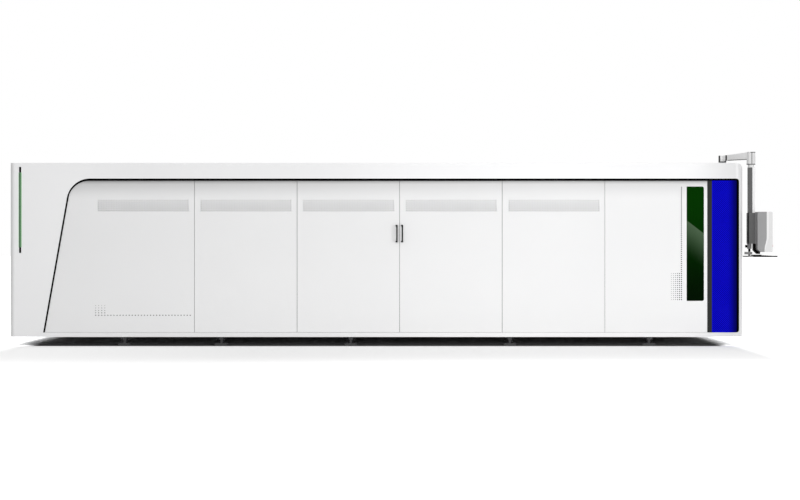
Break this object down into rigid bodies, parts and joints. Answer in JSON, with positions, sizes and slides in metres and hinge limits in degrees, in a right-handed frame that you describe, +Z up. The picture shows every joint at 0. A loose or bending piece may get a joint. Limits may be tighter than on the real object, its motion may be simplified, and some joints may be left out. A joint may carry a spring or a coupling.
{
  "type": "fiber laser cutting machine",
  "caption": "Long enclosed fiber laser cutting machine with side doors, blue perforated corner, green status light and a control panel hung from a swinging arm.",
  "frame": {"origin": "floor level, at the centre of the machine's length and width, the control panel and the handles included", "axes": "+X along the machine towards the control panel, -Y towards the pictured long side, +Z up"},
  "size_m": [10.367, 3.335, 2.623],
  "materials": {
    "white_paint": "satin",
    "grey_paint": "satin",
    "dark_paint": "satin",
    "strip_paint": "satin",
    "blue_paint": "gloss",
    "frame_paint": "matte",
    "bed_paint": "matte",
    "raw_steel": "brushed",
    "hard_steel": "ground",
    "zinc_steel": "satin",
    "aluminium": "satin",
    "black_plastic": "matte",
    "pale_plastic": "satin",
    "grey_plastic": "satin",
    "red_plastic": "gloss",
    "green_plastic": "gloss",
    "green_lens": "gloss",
    "filter_glass": "clear",
    "screen_glass": "gloss"
  },
  "bodies": {
    "machine": {"base_frame": "frame_paint", "levelling_feet": "dark_paint", "enclosure_posts": "frame_paint", "roof_panels": "white_paint", "near_fascia": "white_paint", "far_fascia": "white_paint", "left_end_wall": "white_paint", "right_end_wall": "white_paint", "right_end_panels": "white_paint", "recess_trims": "dark_paint", "near_panels": "white_paint", "near_window_panel": "white_paint", "window_glass": "filter_glass", "corner_strips": "strip_paint", "corner_grilles": "blue_paint", "far_panels": "white_paint", "door_pivots": "zinc_steel", "status_light_housing": "black_plastic", "status_light_lens": "green_lens", "lift_door_guides": "frame_paint", "machine_bed": "bed_paint", "x_guide_rails": "hard_steel", "x_gear_racks": "hard_steel", "pallet_frame": "frame_paint", "support_slats": "raw_steel", "scrap_bins": "zinc_steel", "scrap_chutes": "zinc_steel", "exhaust_duct": "zinc_steel", "pendant_base": "grey_paint"},
    "near_left_leaf": {"near_door_left": "white_paint", "near_handle_left": "black_plastic"},
    "near_right_leaf": {"near_door_right": "white_paint", "near_handle_right": "black_plastic"},
    "pallet_door": {"lift_door": "grey_paint"},
    "gantry": {"gantry_beam": "grey_paint", "gantry_trucks": "bed_paint", "x_drive_motors": "dark_paint", "y_guide_rails": "hard_steel"},
    "near_pinion": {"x_pinion_near": "hard_steel"},
    "far_pinion": {"x_pinion_far": "hard_steel"},
    "carriage": {"y_carriage": "aluminium"},
    "head": {"z_slide": "aluminium", "cutting_head": "dark_paint"},
    "swing_arm": {"pendant_arm": "grey_paint"},
    "control_panel": {"pendant_column": "grey_paint", "cable_cover": "pale_plastic", "hmi_housing": "grey_plastic", "hmi_bezel": "pale_plastic", "hmi_screen": "screen_glass", "panel_bracket": "dark_paint", "tray_clamp": "black_plastic"},
    "tray": {"keyboard_tray": "dark_paint", "keyboard": "black_plastic"},
    "stop_button": {"emergency_stop": "red_plastic"},
    "run_button": {"start_button": "green_plastic"},
    "knob": {"clamp_knob": "black_plastic"}
  },
  "joints": [
    {"name": "near_left_door", "type": "hinge", "parent": "machine", "child": "near_left_leaf", "pos_m": [-1.296, -1.62, 1.51], "axis": [0, 0, -1], "range_deg": [0, 100]},
    {"name": "near_right_door", "type": "hinge", "parent": "machine", "child": "near_right_leaf", "pos_m": [1.449, -1.62, 1.51], "axis": [0, 0, 1], "range_deg": [0, 100]},
    {"name": "pallet_door_lift", "type": "slide", "parent": "machine", "child": "pallet_door", "axis": [0, 0, 1], "range_m": [0, 0.45]},
    {"name": "gantry_travel", "type": "slide", "parent": "machine", "child": "gantry", "axis": [1, 0, 0], "range_m": [-7, 0]},
    {"name": "carriage_travel", "type": "slide", "parent": "gantry", "child": "carriage", "axis": [0, 1, 0], "range_m": [-1.08, 1.08]},
    {"name": "head_lift", "type": "slide", "parent": "carriage", "child": "head", "axis": [0, 0, 1], "range_m": [-0.12, 0]},
    {"name": "near_pinion_turn", "type": "hinge", "parent": "gantry", "child": "near_pinion", "pos_m": [3.3265, -1.2727, 0.785], "axis": [0, 0, 1], "range_deg": [0, 10030]},
    {"name": "far_pinion_turn", "type": "hinge", "parent": "gantry", "child": "far_pinion", "pos_m": [3.3265, 1.2727, 0.785], "axis": [0, 0, 1], "range_deg": [-10030, 0]},
    {"name": "arm_swing", "type": "hinge", "parent": "machine", "child": "swing_arm", "pos_m": [4.5425, -0.9, 2.5014], "axis": [0, 0, 1], "range_deg": [0, 60]},
    {"name": "panel_swivel", "type": "hinge", "parent": "swing_arm", "child": "control_panel", "pos_m": [4.8585, -1.4, 2.45], "axis": [0, 0, 1], "range_deg": [-20, 20]},
    {"name": "tray_height", "type": "slide", "parent": "control_panel", "child": "tray", "axis": [0, 0, 1], "range_m": [-0.1, 0]},
    {"name": "knob_turn", "type": "hinge", "parent": "control_panel", "child": "knob", "pos_m": [4.8085, -1.4, 1.3405], "axis": [1, 0, 0], "range_deg": [0, 180]},
    {"name": "stop_press", "type": "slide", "parent": "control_panel", "child": "stop_button", "axis": [-1, 0, 0], "range_m": [0, 0.006], "stiffness_N_per_m": 800, "springref_m": -0.002},
    {"name": "run_press", "type": "slide", "parent": "control_panel", "child": "run_button", "axis": [-1, 0, 0], "range_m": [0, 0.006], "stiffness_N_per_m": 800, "springref_m": -0.002}
  ],
  "couplings": [
    {"joint": "near_pinion_turn", "follows": "gantry_travel", "rad_per_m": -25},
    {"joint": "far_pinion_turn", "follows": "gantry_travel", "rad_per_m": 25}
  ]
}
